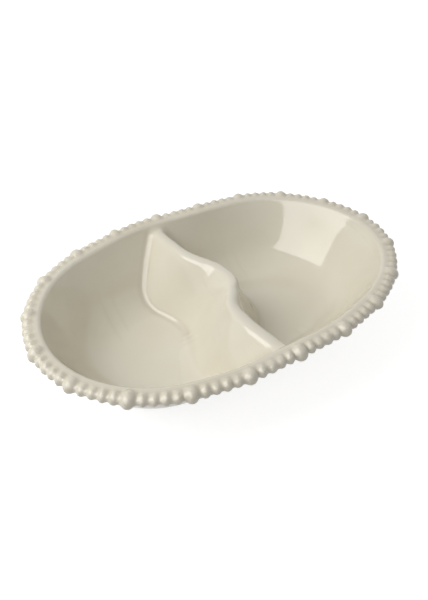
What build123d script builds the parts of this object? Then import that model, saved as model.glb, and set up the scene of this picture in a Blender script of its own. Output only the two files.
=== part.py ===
"""An oval serving bowl with a beaded rim and a waved divider across its middle.

Millimetres. X runs along the bowl, Y across it, and Z up from the table that the foot stands on.
The bowl is described by its bead line, the oval through the middles of the beads: sections are drawn
as offsets from that line, positive outwards, against height.
"""

import os
from math import atan2, cos, degrees, radians, tan

from build123d import *

# Plan of the bead line, a four-centre oval
bead_line_length = 340.0
bead_line_width = 226.0
side_radius = 373.0

# Heights and the wall
foot_height = 5.5
floor_thickness = 5.5
compartment_depth = 54.5  # from the floor up to the middles of the beads
wall_thickness = 5.0
wall_lean = 31.0  # degrees from upright
floor_curve = 38.0  # radius between wall and floor, inside

# Rim band, the rounded lip on the wall's top edge
lip_inset = 12.5  # from the bead line in to the wall, at the beads' height
band_seat = 2.5  # from the bead line in to the band's outer face
band_rise = 3.3  # crest of the lip above the middles of the beads
band_drop = 6.0  # underside of the band below them
band_inner_round = 3.5
band_outer_round = 2.6
band_under_round = 1.5

# Foot ring
foot_width = 11.0
foot_land = 7.0  # width of the flat that stands on the table
foot_margin = 1.0  # from the start of the floor curve in to the ring

# Divider, straight at its ends, with a wave towards +X that has a long flank and a steep one
divider_place = -6.0  # X of its straight ends
divider_overrun = 10.0  # past the bead line, before the wall trims it
wave_depth = 16.5
wave_crest = 6.0  # Y of the point that reaches furthest
long_flank = 65.0  # from the crest to the straight end at +Y
steep_flank = 38.0  # and to the one at -Y
ridge_width = 9.2
ridge_round = 5.0
left_lean = 35.0  # degrees from upright, of the face towards -X
right_lean = 25.0  # and of the one towards +X
seam_blend = 7.0  # radius between divider and bowl
divider_skin = 6.5  # clay left over the hollow
hollow_crown = 3.0  # width of the hollow at its top
hollow_margin = 6.0  # from the foot ring in to the hollow's ends

# Beads: groups of a large one and a run of small ones fill the bead line, whatever its length
bead_groups = 20
small_beads_in_run = 4
large_bead_ratio = 1.45  # its width over a small bead's
large_bead_height = 13.5
small_bead_height = 11.0
bead_gap = 0.18  # room between two beads
headroom = 15.0  # of the tools that hollow the bowl, above the beads

# Levels
floor_top = foot_height + floor_thickness
bead_level = floor_top + compartment_depth
wall_top = bead_level - band_drop
crest_level = bead_level + band_rise
tool_top = bead_level + headroom
outer_curve = floor_curve + wall_thickness
half_corner = tan(radians(90 - wall_lean) / 2)

# The oval: end arcs about (+-end_x, 0), side arcs about (0, -+side_reach)
half_length = bead_line_length / 2
half_width = bead_line_width / 2
side_reach = side_radius - half_width
end_reach = side_radius - half_length
end_radius = (side_radius**2 - side_reach**2 - half_length**2) / (2 * end_reach)
end_x = half_length - end_radius
end_angle = degrees(atan2(side_reach, end_x))
side_turn = 180 - 2 * end_angle
oval_arcs = [
    (Vector(end_x, 0), end_radius, -end_angle, 2 * end_angle),
    (Vector(0, -side_reach), side_radius, end_angle, side_turn),
    (Vector(-end_x, 0), end_radius, 180 - end_angle, 2 * end_angle),
    (Vector(0, side_reach), side_radius, 180 + end_angle, side_turn),
]
bead_line = sum(radius * radians(turn) for _, radius, _, turn in oval_arcs)

os.makedirs("parts", exist_ok=True)


def save(part, name):
    part.label = name
    export_step(part, f"parts/{name}.step")


def wall_inside(level):
    """Offset of the wall's inner face at a height."""
    return (level - bead_level) * tan(radians(wall_lean)) - lip_inset


def wall_outside(level):
    """Offset of the wall's outer face at a height."""
    return wall_inside(level) + wall_thickness / cos(radians(wall_lean))


def oval_ring(corners, rounds):
    """A section carried round the oval, one exact revolve for each of its four arcs."""
    with BuildPart() as ring:
        for centre, radius, start, turn in oval_arcs:
            outwards = Vector(1, 0).rotate(Axis.Z, start)
            with BuildSketch(Plane(centre, x_dir=outwards, z_dir=outwards.cross(Vector(0, 0, 1)))):
                with BuildLine():
                    places = [(radius + out, level) for out, level in corners]
                    FilletPolyline(*places, radius=rounds, close=True)
                make_face()
            revolve(axis=Axis(centre, (0, 0, 1)), revolution_arc=turn)
    return ring.part


def oval_plate(offset_out, bottom, top):
    """An upright plate whose edge runs beside the bead line."""
    with BuildPart() as plate:
        with BuildSketch(Plane.XY.offset(bottom)):
            with BuildLine():
                for centre, radius, start, turn in oval_arcs:
                    CenterArc(centre, radius + offset_out, start, turn)
            make_face()
        extrude(amount=top - bottom)
    return plate.part


def basin(wall_offset, bottom, top, curve):
    """A filled bowl form: a leaning wall that curves into a flat floor."""
    core = wall_offset(bottom) - curve * half_corner - foot_margin
    corners = [(wall_offset(top), top), (wall_offset(bottom), bottom), (core, bottom), (core, top)]
    with BuildPart() as form:
        add(oval_ring(corners, [0, curve, 0, 0]))
        add(oval_plate(core, bottom, top))
    return form.part


def ribbon(left_reach, right_reach, level):
    """The waved band that the divider covers at a height, as wide along X all the way across."""
    reach = half_width + divider_overrun
    wave = [
        (divider_place, reach),
        (divider_place, wave_crest + long_flank),
        (divider_place + wave_depth, wave_crest),
        (divider_place, wave_crest - steep_flank),
        (divider_place, -reach),
    ]
    straight = [(0, -1), (0, -1)]
    with BuildSketch(Plane.XY.offset(level)) as band:
        with BuildLine():
            left = Spline(*[(x - left_reach, y) for x, y in wave], tangents=straight)
            right = Spline(*[(x + right_reach, y) for x, y in wave], tangents=straight)
            Line(left @ 0, right @ 0)
            Line(left @ 1, right @ 1)
        make_face()
    return band.sketch


def along_bead_line(distance):
    """The place at a distance along the bead line from its tip at +X, with its X pointing in at the bowl."""
    left = (distance + end_radius * radians(end_angle)) % bead_line
    for centre, radius, start, turn in oval_arcs:
        if left <= radius * radians(turn):
            break
        left -= radius * radians(turn)
    heading = start + degrees(left / radius)
    point = centre + Vector(radius, 0).rotate(Axis.Z, heading) + Vector(0, 0, bead_level)
    return Location(point, (0, 0, heading + 180))


# Forms that several pieces are cut by: the inside of the bowl and the hollow under the divider
inside = basin(wall_inside, floor_top, tool_top, floor_curve)

# The seam's blend dies out on the wall just where the lip's rounding starts
round_drop = band_inner_round * half_corner * cos(radians(wall_lean))
blend_rise = seam_blend * half_corner * cos(radians(wall_lean))
ridge_level = crest_level - round_drop - blend_rise
left_slope = tan(radians(left_lean))
right_slope = tan(radians(right_lean))
ridge_half = ridge_width / 2

foot_outside = wall_outside(foot_height) - outer_curve * half_corner - foot_margin
foot_inside = foot_outside - foot_width

left_roof = ridge_half - divider_skin / cos(radians(left_lean))
right_roof = ridge_half - divider_skin / cos(radians(right_lean))
roof_drop = (hollow_crown - left_roof - right_roof) / (left_slope + right_slope)
hollow_top = ridge_level - roof_drop
hollow_length = 2 * (half_width + foot_inside - hollow_margin)
with BuildPart() as hollow:
    hollow_base = ribbon(left_roof + left_slope * ridge_level, right_roof + right_slope * ridge_level, 0)
    hollow_roof = ribbon(left_roof + left_slope * roof_drop, right_roof + right_slope * roof_drop, hollow_top)
    loft([hollow_base, hollow_roof], ruled=True)
    Box(bead_line_length, hollow_length, 2 * hollow_top, mode=Mode.INTERSECT)

# Bowl shell: one even sheet of clay, wall, floor curve and floor
with BuildPart() as bowl_shell:
    add(basin(wall_outside, foot_height, wall_top, outer_curve))
    add(inside, mode=Mode.SUBTRACT)
    add(hollow.part, mode=Mode.SUBTRACT)
save(bowl_shell.part, "bowl_shell")

# Foot ring under the flat of the floor
foot_slope = (foot_width - foot_land) / 2
with BuildPart() as foot_ring:
    foot_corners = [
        (foot_outside, foot_height),
        (foot_outside - foot_slope, 0),
        (foot_inside + foot_slope, 0),
        (foot_inside, foot_height),
    ]
    add(oval_ring(foot_corners, 0))
save(foot_ring.part, "foot_ring")

# Rim band: inner face in line with the wall, rounded crest, upright outer face for the beads
with BuildPart() as rim_band:
    band_corners = [
        (wall_inside(wall_top), wall_top),
        (wall_inside(crest_level), crest_level),
        (-band_seat, crest_level),
        (-band_seat, wall_top),
    ]
    add(oval_ring(band_corners, [0, band_inner_round, band_outer_round, band_under_round]))
save(rim_band.part, "rim_band")

# Divider: a waved wall with a rounded ridge, blended into wall and floor all round
with BuildPart() as waved_wall:
    base = ribbon(ridge_half + left_slope * ridge_level, ridge_half + right_slope * ridge_level, 0)
    loft([base, ribbon(ridge_half, ridge_half, ridge_level)], ruled=True)
    ridge = waved_wall.faces().sort_by(Axis.Z)[-1]
    fillet(ridge.edges().sort_by(SortBy.LENGTH)[-2:], radius=ridge_round)

with BuildPart() as compartments:
    add(inside)
    add(waved_wall.part, mode=Mode.SUBTRACT)
    fillet(compartments.edges(Select.NEW), radius=seam_blend)

with BuildPart() as divider:
    add(inside)
    add(compartments.part, mode=Mode.SUBTRACT)
    add(hollow.part, mode=Mode.SUBTRACT)
save(divider.part, "divider")

# Beads: a large one at the start of each group, then a run of small ones, all seated on the band
group_length = bead_line / bead_groups
beads_span = group_length - (small_beads_in_run + 1) * bead_gap
small_bead_width = beads_span / (small_beads_in_run + large_bead_ratio)
large_bead_width = large_bead_ratio * small_bead_width
band_core = oval_plate(-band_seat, 0, tool_top)


def pearl(width, height):
    """A bead a little taller than it is wide, made of an inner and an outer half turn."""
    with BuildPart() as bead:
        for half_turn in (180, -180):
            with BuildSketch(Plane.YZ):
                Ellipse(width / 2, height / 2)
                Rectangle(width, height, align=(Align.MIN, Align.CENTER), mode=Mode.INTERSECT)
            revolve(axis=Axis.Z, revolution_arc=half_turn, clean=False)
    return bead.part


large_pearl = pearl(large_bead_width, large_bead_height)
small_pearl = pearl(small_bead_width, small_bead_height)
first_small = (large_bead_width + small_bead_width) / 2 + bead_gap

for group in range(bead_groups):
    start = group * group_length
    with BuildPart() as large_bead:
        with Locations(along_bead_line(start)):
            add(large_pearl)
        add(band_core, clean=False, mode=Mode.SUBTRACT)
    save(large_bead.part, f"large_bead_{group + 1:02d}")

    steps = [start + first_small + step * (small_bead_width + bead_gap) for step in range(small_beads_in_run)]
    with BuildPart() as small_beads:
        with Locations(*[along_bead_line(step) for step in steps]):
            add(small_pearl)
        add(band_core, clean=False, mode=Mode.SUBTRACT)
    save(small_beads.part, f"small_beads_{group + 1:02d}")

print(f"end radius {end_radius:.2f}, bead line {bead_line:.1f} long")
print(f"beads {large_bead_width:.2f} and {small_bead_width:.2f} wide")
print(f"foot ring {foot_outside:.1f} to {foot_inside:.1f} from the bead line, ridge at {ridge_level:.1f}")
print(f"hollow up to {hollow_top:.1f}, {hollow_length:.1f} long")
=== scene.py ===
# %% [markdown]
# A divided serving bowl in cream glaze. This lesson dresses a imported CAD model of the bowl: the model
# comes in as a fixed frame, and every piece made here keeps the frame's metres and its origin, on the
# table under the middle of the bowl. Nothing made later may reach outside it.

# %% The frame
from math import atan2, cos, pi, radians, sin
from random import Random

import bmesh
import bpy
from mathutils import Matrix, Vector
from mathutils.geometry import intersect_point_line


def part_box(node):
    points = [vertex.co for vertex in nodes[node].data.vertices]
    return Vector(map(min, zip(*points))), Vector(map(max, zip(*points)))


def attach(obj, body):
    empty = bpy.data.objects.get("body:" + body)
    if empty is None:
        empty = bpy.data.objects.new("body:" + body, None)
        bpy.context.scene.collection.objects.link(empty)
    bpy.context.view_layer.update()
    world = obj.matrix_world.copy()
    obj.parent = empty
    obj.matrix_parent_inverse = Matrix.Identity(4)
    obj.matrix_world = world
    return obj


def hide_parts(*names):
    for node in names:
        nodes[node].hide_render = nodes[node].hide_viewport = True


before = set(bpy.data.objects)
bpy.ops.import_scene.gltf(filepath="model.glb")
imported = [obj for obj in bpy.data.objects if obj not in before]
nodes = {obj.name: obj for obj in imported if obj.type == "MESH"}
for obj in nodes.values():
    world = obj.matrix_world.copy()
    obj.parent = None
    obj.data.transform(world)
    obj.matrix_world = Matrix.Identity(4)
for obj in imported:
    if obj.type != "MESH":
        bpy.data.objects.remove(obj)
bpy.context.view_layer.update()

MM = 0.001
scene = bpy.context.scene
bead_nodes = sorted(name for name in nodes if "bead" in name)
print(f"{len(nodes)} nodes, of which {len(bead_nodes)} hold beads")

# %% [markdown]
# The beads follow an oval of four arcs, the bead line. The frame's own beads give its length and width,
# and one more radius fixes the arcs. The oval could be drawn as a curve object instead, but four arcs
# can be measured exactly, and most of what follows is measured from this line.

# %% The bead line
SIDE_RADIUS = 373 * MM
BEAD_GROUPS = 20
SMALL_BEADS = 4

end_low, end_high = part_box("large_bead_01")
_, side_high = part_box(f"large_bead_{BEAD_GROUPS // 4 + 1:02d}")
large_width = end_high.y - end_low.y
large_height = end_high.z - end_low.z
half_length = end_high.x - large_width / 2
half_width = side_high.y - large_width / 2
bead_level = end_high.z - large_height / 2

end_radius = 2 * half_width * SIDE_RADIUS - half_length**2 - half_width**2
end_radius /= 2 * (SIDE_RADIUS - half_length)
end_x = half_length - end_radius
side_y = SIDE_RADIUS - half_width
end_angle = atan2(side_y, end_x)
side_turn = pi - 2 * end_angle
bead_arcs = [
    (Vector((end_x, 0)), end_radius, -end_angle, 2 * end_angle),
    (Vector((0, -side_y)), SIDE_RADIUS, end_angle, side_turn),
    (Vector((-end_x, 0)), end_radius, pi - end_angle, 2 * end_angle),
    (Vector((0, side_y)), SIDE_RADIUS, pi + end_angle, side_turn),
]
bead_line = sum(radius * turn for _, radius, _, turn in bead_arcs)
print(f"bead line {bead_line / MM:.1f} mm long, end radius {end_radius / MM:.1f} mm")

# %% [markdown]
# Two questions are asked of the line again and again: where is the place at some distance along it, and
# how far does a point lie outside it? Both answers come from finding the right arc.


# %% Places on the line and beside it
def along_bead_line(distance):
    """The point at a distance along the line from its tip at +X, and the heading outwards there."""
    left = (distance + end_radius * end_angle) % bead_line
    for centre, radius, start, turn in bead_arcs:
        if left <= radius * turn:
            break
        left -= radius * turn
    heading = start + left / radius
    spot = centre + radius * Vector((cos(heading), sin(heading)))
    return Vector((spot.x, spot.y, bead_level)), heading


def outside_bead_line(co):
    """How far a point lies outside the bead line in plan; negative inside."""
    x, y = abs(co.x), abs(co.y)
    if atan2(y, x - end_x) < end_angle:
        return Vector((x - end_x, y)).length - end_radius
    return Vector((x, y + side_y)).length - SIDE_RADIUS


def in_mm(place):
    """The coordinates of a place as short numbers of millimetres."""
    return [round(value / MM, 1) for value in place]


print("the line's tip is at", in_mm(along_bead_line(0)[0]), "mm")

# %% [markdown]
# Each bead is a pellet of clay rolled in the hand and pressed on, so no two are alike. A sphere, squashed
# and drawn in over the lip, stands for each one; it never reaches further out or up than the frame's
# bead, so the border stays in the box. Sculpting each bead would take longer and look no different at
# this size. A seeded generator gives the unevenness, so that every run makes the same bowl.

# %% Hand-rolled beads
BEAD_GAP = 0.18 * MM
UNEVEN = 0.12
DRAW_IN = 1.2 * MM
OVERLAP = 1.06
BEAD_SEGMENTS = 20
BEAD_RINGS = 12
rng = Random(7)
group_length = bead_line / BEAD_GROUPS
small_width = (group_length - (SMALL_BEADS + 1) * BEAD_GAP - large_width) / SMALL_BEADS
small_low, small_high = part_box("small_beads_01")
small_height = small_high.z - small_low.z


def roll_bead(form, distance, width, height):
    """Press one pellet on the rim."""
    spot, heading = along_bead_line(distance)
    outwards = Vector((cos(heading), sin(heading), 0))
    through = width / 2 * (1 - UNEVEN * rng.random()) + DRAW_IN
    along = width / 2 * OVERLAP * (1 - UNEVEN * rng.random())
    tall = height / 2 * (1 - UNEVEN * rng.random())
    place = Matrix.Translation(spot - outwards * DRAW_IN) @ Matrix.Rotation(heading, 4, "Z")
    squash = Matrix.Diagonal((through, along, tall, 1))
    bmesh.ops.create_uvsphere(
        form, u_segments=BEAD_SEGMENTS, v_segments=BEAD_RINGS, radius=1, matrix=place @ squash
    )


clay = bmesh.new()
for group in range(BEAD_GROUPS):
    group_start = group * group_length
    roll_bead(clay, group_start, large_width, large_height)
    for step in range(SMALL_BEADS):
        reach = (large_width + small_width) / 2 + BEAD_GAP + step * (small_width + BEAD_GAP)
        roll_bead(clay, group_start + reach, small_width, small_height)
bead_count = BEAD_GROUPS * (SMALL_BEADS + 1)
print(f"{bead_count} beads, {small_width / MM:.1f} and {large_width / MM:.1f} mm wide")

# %% [markdown]
# Glaze runs over every joint in the clay and leaves one soft skin. Separate meshes would show a hard
# crack wherever two of them meet. So the shell, the divider and the rim band are copied from the frame,
# joined with the beads and wrapped by a voxel remesh, as the glaze wraps them. Smoothing then rounds off
# what is finer than the glaze is thick, such as the grooves between the beads.

# %% One skin of glaze
WELD = 0.001 * MM
SKIN_CELL = 1.6 * MM
SMOOTHING = 0.5
SOFTENING = 4

for name in ("bowl_shell", "divider", "rim_band"):
    clay.from_mesh(nodes[name].data)
bmesh.ops.remove_doubles(clay, verts=clay.verts, dist=WELD)
clay_mesh = bpy.data.meshes.new("joined_clay")
clay.to_mesh(clay_mesh)
clay.free()
joined = bpy.data.objects.new("joined_clay", clay_mesh)
scene.collection.objects.link(joined)
wrap = joined.modifiers.new("wrap", "REMESH")
wrap.mode = "VOXEL"
wrap.voxel_size = SKIN_CELL
soften = joined.modifiers.new("soften", "SMOOTH")
soften.factor = SMOOTHING
soften.iterations = SOFTENING
wrapped = joined.evaluated_get(bpy.context.evaluated_depsgraph_get())
skin_mesh = bpy.data.meshes.new_from_object(wrapped)
bpy.data.objects.remove(joined)
print(f"skin of {len(skin_mesh.polygons)} faces")

# %% [markdown]
# A rim made by hand wanders. The skin's points are drawn in by slow waves round the bowl: most at the
# rim, and not at all at the foot or in the middle of the bowl. They are only drawn in, never out, because
# of the frame's box. The waves were fitted to the rim in the photograph, measured against the frame's
# even oval; each has a count round the bowl, a phase and a size.

# %% A rim that wanders
MEAN_DRAW = 2.4 * MM
WANDER_DEPTH = 60 * MM
WANDER_FADE = 40 * MM
RISE_POWER = 3
RIM_WAVES = (
    (2, 1.19, 0.50 * MM),
    (3, -1.20, 0.90 * MM),
    (4, 4.04, 0.55 * MM),
    (6, -0.86, 0.85 * MM),
    (7, -0.52, 0.55 * MM),
)


def ramp(value, width):
    """0 up to zero, 1 from the width on, and straight between them."""
    return min(max(value / width, 0), 1)


def rim_weight(co):
    """1 level with the beads' middles, more above them, and 0 at the foot and mid-bowl."""
    near_rim = ramp(outside_bead_line(co) + WANDER_DEPTH, WANDER_FADE)
    return (co.z / bead_level) ** RISE_POWER * near_rim


skin = bmesh.new()
skin.from_mesh(skin_mesh)
most_drawn = 0
for vert in skin.verts:
    bearing = atan2(vert.co.y, vert.co.x)
    swing = sum(size * sin(count * bearing + phase) for count, phase, size in RIM_WAVES)
    drawn = max(MEAN_DRAW + swing, 0) * rim_weight(vert.co)
    vert.co.xy -= vert.co.xy.normalized() * drawn
    most_drawn = max(most_drawn, drawn)
print(f"rim drawn in by up to {most_drawn / MM:.1f} mm")

# %% [markdown]
# The divider's wave turns a sharper corner at its nose than the frame's does, and then drops nearly
# straight towards the front. In clay a thumb would push it there. So the points round four places are
# moved, most in the middle of the thumb's reach and not at all at its edge. On the ridge the reach is
# stretched in height, so that the faces below go along. The fourth push, on the face behind the nose,
# makes that face steeper. Each push has a middle, a movement, a reach and a stretch.

# %% A thumb on the wave
THUMB_PUSHES = (
    (Vector((9.3, -2.6, 66)) * MM, Vector((2.9, -1.9, 0)) * MM, 17 * MM, 2.0),
    (Vector((-4.6, -32.9, 66)) * MM, Vector((-2.2, 1.5, 0)) * MM, 17 * MM, 2.0),
    (Vector((4.0, 44.0, 66)) * MM, Vector((-4.5, 0, 0)) * MM, 32 * MM, 2.2),
    (Vector((20.0, -17.0, 34)) * MM, Vector((-7.0, 2.0, 0)) * MM, 28 * MM, 1.0),
)

for middle, push, reach, stretch in THUMB_PUSHES:
    for vert in skin.verts:
        away = vert.co - middle
        away.z /= stretch
        share = away.length / reach
        if share < 1:
            vert.co += push * (1 - share**2) ** 2
    print("thumb at", in_mm(middle), "mm")

# %% [markdown]
# A potter runs a wet finger over what is too sharp, and smoothing does the same for a mesh. The first
# places are the back and the nose of the wave, where the ridge's rounding is nearly as wide as the bend
# and folds. The points on both faces are smoothed there, while those on top of the ridge stay, so that
# its line keeps its height.

# %% A wet finger over the wave
BACK = Vector((18, -18, 44)) * MM
BACK_REACH = 30 * MM
BACK_TOP = bead_level - 7 * MM
BACK_PASSES = 60
NOSE = Vector((10.5 * MM, 6 * MM, bead_level))
NOSE_REACH = 24 * MM
NOSE_TOP = bead_level - 2.6 * MM
NOSE_PASSES = 24


def rub(form, points, passes):
    """Smooth some of a mesh's points, a little at each pass."""
    for _ in range(passes):
        bmesh.ops.smooth_vert(
            form, verts=points, factor=SMOOTHING, use_axis_x=True, use_axis_y=True, use_axis_z=True
        )


def points_round(middle, reach, top):
    """The skin's points within reach of a place and below a level."""
    return [v for v in skin.verts if (v.co - middle).length < reach and v.co.z < top]


back = points_round(BACK, BACK_REACH, BACK_TOP)
rub(skin, back, BACK_PASSES)
nose = points_round(NOSE, NOSE_REACH, NOSE_TOP)
rub(skin, nose, NOSE_PASSES)
print(f"{len(back)} points rubbed on the back of the wave, {len(nose)} round its nose")

# %% [markdown]
# Two more places are rubbed, on the inside of the bowl only. The seam between the divider's left face
# and the floor runs out at its near end. Both end walls turn into the floor in one long curve, where the
# frame has a straight wall and a round. Each is rubbed first over a wide patch and then over smaller
# ones, so that no edge of a patch shows.

# %% A wet finger over seam and walls
FACING_UP = 0.15
LIP_WIDTH = 16 * MM
SEAM_START = Vector((-41, -18)) * MM
SEAM_END = Vector((-60, -58)) * MM
SEAM_REACHES = (24 * MM, 18 * MM, 12 * MM)
SEAM_TOP = 45 * MM
SEAM_PASSES = 40
WALL_STARTS = ((54 * MM, -74 * MM), (64 * MM, -84 * MM))
WALL_PASSES = 70


def seam_distance(co):
    """How far a point lies from the near end of the seam in plan."""
    share = intersect_point_line(co.xy, SEAM_START, SEAM_END)[1]
    return (co.xy - SEAM_START.lerp(SEAM_END, ramp(share, 1))).length


skin.normal_update()
inside = [v for v in skin.verts if v.normal.z > FACING_UP and outside_bead_line(v.co) < -LIP_WIDTH]
for reach in SEAM_REACHES:
    seam = [v for v in inside if v.co.z < SEAM_TOP and seam_distance(v.co) < reach]
    rub(skin, seam, SEAM_PASSES)
for right, left in WALL_STARTS:
    walls = [v for v in inside if v.co.x > right or v.co.x < left]
    rub(skin, walls, WALL_PASSES)
print(f"{len(inside)} points inside the bowl, of which {len(walls)} rubbed to the last on the walls")

# %% [markdown]
# Melted glaze runs off edges and gathers in hollows, and it is deeper in colour where it is thick. The
# material also paints shade into the hollows, such as the grooves between the beads, and a painted
# highlight onto the edges. To find the hollows, a copy of the skin is smoothed much further: points in a
# groove move outwards, points on an edge move in. That movement is kept on the skin as an attribute for
# the material to read. So is how near a point lies to the beads, because the glaze is taken to be thinner
# there.

# %% Hollows and edges: pooled glaze, painted shade and painted highlight
HOLLOW_PASSES = 14
HOLLOW_DEPTH = 0.8 * MM
FADE_START = 15 * MM
FADE_WIDTH = 9 * MM

for attribute in ("hollowness", "rimward"):
    skin.verts.layers.float.new(attribute)
hollowness = skin.verts.layers.float["hollowness"]
rimward = skin.verts.layers.float["rimward"]
eased = skin.copy()
rub(eased, eased.verts[:], HOLLOW_PASSES)
skin.normal_update()
for vert, soft in zip(skin.verts, eased.verts):
    vert[hollowness] = (soft.co - vert.co).dot(vert.normal) / HOLLOW_DEPTH
    vert[rimward] = ramp(outside_bead_line(vert.co) + FADE_START, FADE_WIDTH)
eased.free()
depths = [vert[hollowness] for vert in skin.verts]
print(f"gather from {min(depths):.2f} to {max(depths):.2f}")

# %% [markdown]
# The skin is cut along the flat of the lip, where a cut can't show, into the bowl's body and its beaded
# border. Each half is closed by a wall bridged between its two open loops. The loops are marked sharp, so
# that the hidden wall doesn't bend the shading of the lip. The frame's own nodes are hidden where these
# two pieces take their place.

# %% Body and border
LIP_CUT = -8.0 * MM


def piece_of_skin(name, keep):
    """A closed piece from the faces of the skin whose middles pass a test."""
    form = skin.copy()
    spare = [face for face in form.faces if not keep(outside_bead_line(face.calc_center_median()))]
    bmesh.ops.delete(form, geom=spare, context="FACES")
    for face in form.faces:
        face.smooth = True
    open_edges = [edge for edge in form.edges if edge.is_boundary]
    for edge in open_edges:
        edge.smooth = False
    bmesh.ops.bridge_loops(form, edges=open_edges)
    mesh = bpy.data.meshes.new(name)
    form.to_mesh(mesh)
    form.free()
    piece = bpy.data.objects.new(name, mesh)
    scene.collection.objects.link(piece)
    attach(piece, "root")
    print(f"{name}: {len(mesh.polygons)} faces, {len(open_edges)} edges closed")
    return piece


body = piece_of_skin("glazed_body", lambda outside: outside <= LIP_CUT)
border = piece_of_skin("beaded_border", lambda outside: outside > LIP_CUT)
skin.free()
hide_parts("bowl_shell", "divider", "rim_band")
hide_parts(*bead_nodes)

# %% [markdown]
# Shader sums read best as sums. A small class wraps a node's socket, so that an expression such as
# `1 - mask * 0.5` adds the Math nodes it needs, and one method adds every other kind of node.


# %% Shader maths
class Socket:
    """An output socket in a node tree, or a plain value for an input."""

    def __init__(self, tree, value=0.0):
        self.tree = tree
        self.value = value

    def plug(self, target):
        """Link this socket to an input, or set the input to this value."""
        if isinstance(self.value, bpy.types.NodeSocket):
            self.tree.links.new(self.value, target)
        else:
            target.default_value = self.value

    def node(self, kind, settings=None, out=0, **inputs):
        """Add a node, apply its settings, then fill its sockets by name, or by index as in _0."""
        made = self.tree.nodes.new(kind)
        for name, setting in (settings or {}).items():
            setattr(made, name, setting)
        for name, given in inputs.items():
            key = int(name[1:]) if name[1:].isdigit() else name.replace("_", " ")
            value = given if isinstance(given, Socket) else Socket(self.tree, given)
            value.plug(made.inputs[key])
        return Socket(self.tree, made.outputs[out] if made.outputs else made)

    def math(self, operation, a, b):
        """Add a Math node."""
        return self.node("ShaderNodeMath", {"operation": operation}, _0=a, _1=b)

    def clamp(self, low, high):
        """0 at low, 1 at high, and straight between them."""
        return self.node("ShaderNodeMapRange", {"clamp": True}, Value=self, From_Min=low, From_Max=high)

    def __add__(self, other):
        return self.math("ADD", self, other)

    def __sub__(self, other):
        return self.math("SUBTRACT", self, other)

    def __rsub__(self, other):
        return self.math("SUBTRACT", other, self)

    def __mul__(self, other):
        return self.math("MULTIPLY", self, other)

    __radd__ = __add__
    __rmul__ = __mul__


# %% [markdown]
# Three helpers serve both materials of the bowl. Noise reads Object coordinates, because every piece
# keeps its place in its mesh, so a pattern runs on from one piece to the next.


# %% Helpers for materials
def blank_material(name):
    """A material with only its Principled shader, and a socket to start expressions from."""
    material = bpy.data.materials.new(name)
    material.use_nodes = True
    tree = material.node_tree
    return material, tree.nodes["Principled BSDF"].inputs, Socket(tree)


def noise(start, scale, detail):
    """Noise on Object coordinates."""
    place = start.node("ShaderNodeTexCoord", out="Object")
    return start.node("ShaderNodeTexNoise", Vector=place, Scale=scale, Detail=detail)


def blend(start, factor, first, second):
    """A colour between two, from the first at 0 to the second at 1."""
    return start.node("ShaderNodeMix", {"data_type": "RGBA"}, out=2, _0=factor, _6=first, _7=second)


# %% [markdown]
# The glaze is a cream gloss over pale clay. One flat colour would look like plastic, so the cream drifts
# a little over a hand's width. It turns deeper in the hollows, partly for glaze that has gathered there
# and partly as painted shade, such as in the grooves between the beads, and a touch paler on the edges,
# partly for glaze that ran off and partly as a painted highlight. The surface isn't quite true either: a
# slow bump bends the reflections, as pressing by hand does, and a fine one gives the faint orange peel of
# a fired glaze. Many glazes bend light a little more than window glass does, so the index is set a little
# higher. On the beads the glaze is taken to be thinner, so that the clay darkens it, and less glassy.

# %% The cream glaze
CREAM = (0.700, 0.662, 0.550, 1)
WARM_CREAM = (0.675, 0.628, 0.505, 1)
BEAD_CREAM = (0.625, 0.582, 0.478, 1)
WARM_BEAD = (0.600, 0.550, 0.440, 1)
# Deeper cream for the hollows: pooled glaze and painted shade.
POOL_AND_SHADE_CREAM = (0.500, 0.440, 0.330, 1)
# Paler cream for the edges: thinner glaze and a painted highlight.
THIN_GLAZE_AND_HIGHLIGHT_CREAM = (0.705, 0.668, 0.562, 1)
DRIFT_SCALE = 16
DRIFT_RANGE = (0.35, 0.75)
POOL_AND_SHADE_RANGE = (0.08, 1.0)
POOL_AND_SHADE_SHARE = 0.85
EDGE_RANGE = (0.10, 0.9)
EDGE_SHARE = 0.35
GLOSS = 0.06
DRIFT_ROUGHNESS = 0.06
BEAD_ROUGHNESS = 0.22
GLAZE_INDEX = 1.6
PRESS_SCALE = 24
PRESS_HEIGHT = 0.35 * MM
PEEL_SCALE = 420
PEEL_SHARE = 0.012


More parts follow.
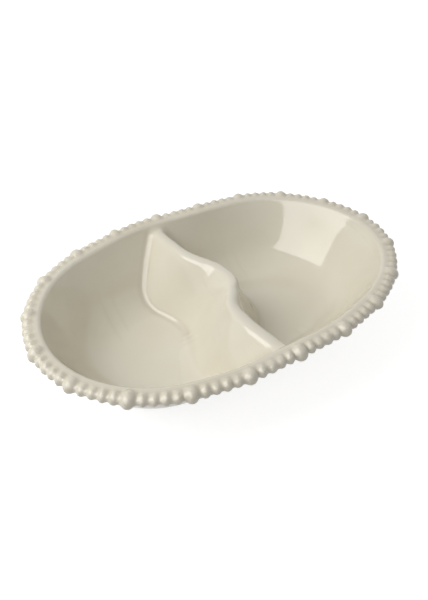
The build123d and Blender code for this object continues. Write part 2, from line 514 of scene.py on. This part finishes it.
def cream_glaze(name):
    """A glaze that drifts, darkens in hollows (pooled glaze, painted shade), pales on edges (thin glaze,
    painted highlight) and thins towards the beads.
    """
    material, shader, start = blank_material(name)
    drift = noise(start, DRIFT_SCALE, detail=3.0)
    depth = start.node("ShaderNodeAttribute", {"attribute_name": "hollowness"}, out="Fac")
    rim = start.node("ShaderNodeAttribute", {"attribute_name": "rimward"}, out="Fac")
    drifting = drift.clamp(*DRIFT_RANGE)
    pooled_and_shaded = depth.clamp(*POOL_AND_SHADE_RANGE)
    edge = (0 - depth).clamp(*EDGE_RANGE)

    cream = blend(start, drifting, CREAM, WARM_CREAM)
    on_beads = blend(start, drifting, BEAD_CREAM, WARM_BEAD)
    colour = blend(start, rim, cream, on_beads)
    # Painted shade: the hollows, such as the grooves between the beads, turn deeper, partly for pooled
    # glaze.
    colour = blend(start, pooled_and_shaded * POOL_AND_SHADE_SHARE, colour, POOL_AND_SHADE_CREAM)
    # Painted highlight: the edges turn a touch paler, partly for glaze that ran off.
    colour = blend(start, edge * EDGE_SHARE, colour, THIN_GLAZE_AND_HIGHLIGHT_CREAM)
    colour.plug(shader["Base Color"])
    (drift * DRIFT_ROUGHNESS + GLOSS + rim * BEAD_ROUGHNESS).plug(shader["Roughness"])
    shader["IOR"].default_value = GLAZE_INDEX

    press = noise(start, PRESS_SCALE, detail=1.0)
    peel = noise(start, PEEL_SCALE, detail=2.0)
    height = press + peel * PEEL_SHARE
    bump = start.node("ShaderNodeBump", Height=height, Distance=PRESS_HEIGHT, Strength=1.0)
    bump.plug(shader["Normal"])
    return material


body.data.materials.append(cream_glaze("bowl_glaze_finish"))
border.data.materials.append(cream_glaze("bead_glaze_finish"))
print("glaze on", body.name, "and", border.name)

# %% [markdown]
# A foot is wiped clean before firing, so that the bowl doesn't stick to the kiln shelf. Its clay stays
# bare: a shade darker and browner than the glaze, dry, and finely grained. The frame's own foot ring has
# the right shape and stays.

# %% The bare foot
CLAY = (0.62, 0.56, 0.46, 1)
DARK_CLAY = (0.50, 0.44, 0.35, 1)
GRAIN_SCALE = 900
WEAR_SCALE = 60
STAIN_SHARE = 0.5
STAIN_RANGE = (0.4, 0.65)
DRYNESS = 0.70
GRAIN_ROUGHNESS = 0.2
GRAIN_HEIGHT = 0.15 * MM
GRAIN_STRENGTH = 0.6

clay_finish, shader, start = blank_material("bare_clay")
grain = noise(start, GRAIN_SCALE, detail=4.0)
wear = noise(start, WEAR_SCALE, detail=3.0)
stain = (grain * STAIN_SHARE + wear * STAIN_SHARE).clamp(*STAIN_RANGE)
blend(start, stain, CLAY, DARK_CLAY).plug(shader["Base Color"])
(DRYNESS + grain * GRAIN_ROUGHNESS).plug(shader["Roughness"])
bump = start.node("ShaderNodeBump", Height=grain, Distance=GRAIN_HEIGHT, Strength=GRAIN_STRENGTH)
bump.plug(shader["Normal"])
foot = nodes["foot_ring"]
foot.data.materials.clear()
foot.data.materials.append(clay_finish)
print("bare clay on", foot.name)

# %% [markdown]
# The photograph looks down on the bowl from the front left, close enough that the near beads look larger
# than the far ones. The angle, the distance and the lens start from a fit of the bead line to the rim in
# the photograph, and the shift puts the lens's middle where that fit has it in the 428 by 600 picture.
# The camera then stands a little closer and higher, because the wandering rim is smaller than the
# frame's.

# %% The camera
VIEW_AZIMUTH = -33.8
VIEW_ELEVATION = 38.2
VIEW_DISTANCE = 546 * MM
LENS = 37.96
SENSOR = 36
NEAR_CLIP = 0.01
SHIFT_X = -0.0093
SHIFT_Y = -0.0365
aim = Vector((0, 0, bead_level))


def towards(azimuth, elevation):
    """The unit vector from the bowl to a place round it, with azimuth 0 in front."""
    turn, rise = radians(azimuth), radians(elevation)
    return Vector((sin(turn) * cos(rise), -cos(turn) * cos(rise), sin(rise)))


def stand(thing, azimuth, elevation, distance):
    """Put a camera or lamp round the bowl and turn it to the middle of the rim."""
    away = towards(azimuth, elevation)
    thing.location = aim + away * distance
    thing.rotation_euler = away.to_track_quat("Z", "Y").to_euler()
    scene.collection.objects.link(thing)
    print(thing.name, "at", in_mm(thing.location), "mm")


lens = bpy.data.cameras.new("camera")
lens.lens = LENS
lens.sensor_width = SENSOR
lens.shift_x, lens.shift_y = SHIFT_X, SHIFT_Y
lens.clip_start = NEAR_CLIP
scene.camera = bpy.data.objects.new("camera", lens)
stand(scene.camera, VIEW_AZIMUTH, VIEW_ELEVATION, VIEW_DISTANCE)

# %% [markdown]
# The photograph's ground is plain white. A floor bright enough to look white would throw too much light
# up at the bowl, so rays from the lens, and those that gloss sends on, see a floor that glows and still
# takes the bowl's shadow, while the light that bounces sees a plain pale floor.

# %% The floor
FLOOR_SIZE = 12
FLOOR_PALE = 0.62
FLOOR_SEEN = 0.45
FLOOR_GLOW = 0.82


def seen_by_lens(start):
    """1 for rays from the lens and those that gloss or glass sends on, 0 for the rest."""
    kinds = ("Is Camera Ray", "Is Glossy Ray", "Is Transmission Ray")
    lens_ray, gloss_ray, glass_ray = (start.node("ShaderNodeLightPath", out=kind) for kind in kinds)
    return start.math("MAXIMUM", start.math("MAXIMUM", lens_ray, gloss_ray), glass_ray)


def grey(level):
    """A grey as a colour socket takes it."""
    return (level, level, level, 1)


floor_form = bmesh.new()
bmesh.ops.create_grid(floor_form, x_segments=1, y_segments=1, size=FLOOR_SIZE / 2)
floor_mesh = bpy.data.meshes.new("floor")
floor_form.to_mesh(floor_mesh)
floor_form.free()
floor = bpy.data.objects.new("floor", floor_mesh)
scene.collection.objects.link(floor)

floor_finish = bpy.data.materials.new("pale_floor")
floor_finish.use_nodes = True
floor_finish.node_tree.nodes.clear()
start = Socket(floor_finish.node_tree)
bounced = start.node("ShaderNodeBsdfDiffuse", Color=grey(FLOOR_PALE))
dimmed = start.node("ShaderNodeBsdfDiffuse", Color=grey(FLOOR_SEEN))
glow = start.node("ShaderNodeEmission", Color=grey(1), Strength=FLOOR_GLOW)
seen = start.node("ShaderNodeAddShader", _0=dimmed, _1=glow)
floor_look = start.node("ShaderNodeMixShader", _0=seen_by_lens(start), _1=bounced, _2=seen)
start.node("ShaderNodeOutputMaterial", Surface=floor_look)
floor_mesh.materials.append(floor_finish)
print(f"floor of {FLOOR_SIZE} by {FLOOR_SIZE} m")

# %% [markdown]
# The world behind the floor is split in the same way: white for the lens and for gloss, and a plain dim
# sky for the light that falls on the bowl.

# %% The world
AMBIENT = 0.43

world = bpy.data.worlds.new("studio")
world.use_nodes = True
backdrop = world.node_tree.nodes["Background"].inputs
backdrop["Color"].default_value = grey(1)
sky_seen = seen_by_lens(Socket(world.node_tree))
(sky_seen * (1 - AMBIENT) + AMBIENT).plug(backdrop["Strength"])
scene.world = world
print(f"sky of strength {AMBIENT} on the bowl")

# %% [markdown]
# One soft lamp, high at the left, gives the photograph's light: it falls full on the divider's left face
# and on the far right wall, and leaves the left wall in its own shade. The pale patch on the right wall
# is the reflection of a window, for which a card stands in. Seen from the bowl, the card spans about 44
# to 114 degrees round to the left, and 20 to 64 degrees up. Only gloss sees the card, and gloss doesn't
# see the lamp, so that each can stand where its own work needs it.

# %% The lamp and the window
LAMP_DISTANCE = 1.1


def soft_lamp(name, azimuth, elevation, width, height, watts):
    """A soft rectangular lamp that faces the bowl."""
    light = bpy.data.lights.new(name, "AREA")
    light.shape = "RECTANGLE"
    light.size, light.size_y = width, height
    light.energy = watts
    lamp = bpy.data.objects.new(name, light)
    stand(lamp, azimuth, elevation, LAMP_DISTANCE)
    return lamp


lamp = soft_lamp("studio_lamp", azimuth=-114, elevation=45, width=0.85, height=0.85, watts=9.2)
lamp.visible_glossy = False
window = soft_lamp("window", azimuth=-79, elevation=42, width=1.55, height=0.90, watts=13.5)
window.visible_diffuse = False
scene.view_settings.view_transform = "Standard"
